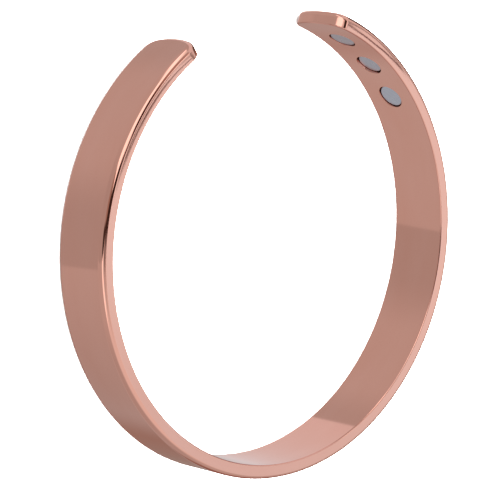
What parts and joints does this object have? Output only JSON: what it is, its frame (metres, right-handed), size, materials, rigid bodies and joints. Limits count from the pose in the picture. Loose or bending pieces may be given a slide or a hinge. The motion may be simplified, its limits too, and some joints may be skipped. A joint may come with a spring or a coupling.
{
  "type": "magnetic bracelet",
  "caption": "Open polished copper cuff bracelet: a bent flat bar with rounded edges and tips, and small disc magnets in pockets in its inner wall.",
  "frame": {"origin": "on the ring's axis, halfway across the width of the bar, where the middle of a wrist goes", "axes": "+Z along the ring's axis, up from the surface that the bracelet lies on; +Y from the axis to the gap between the tips; +X to the right"},
  "size_m": [0.064, 0.0613, 0.0088],
  "materials": {
    "copper": "polished",
    "nickel_plate": "satin"
  },
  "bodies": {
    "root": {"band": "copper", "magnet_right_1": "nickel_plate", "magnet_right_2": "nickel_plate", "magnet_right_3": "nickel_plate", "magnet_left_1": "nickel_plate", "magnet_left_2": "nickel_plate", "magnet_left_3": "nickel_plate"}
  },
  "joints": []
}
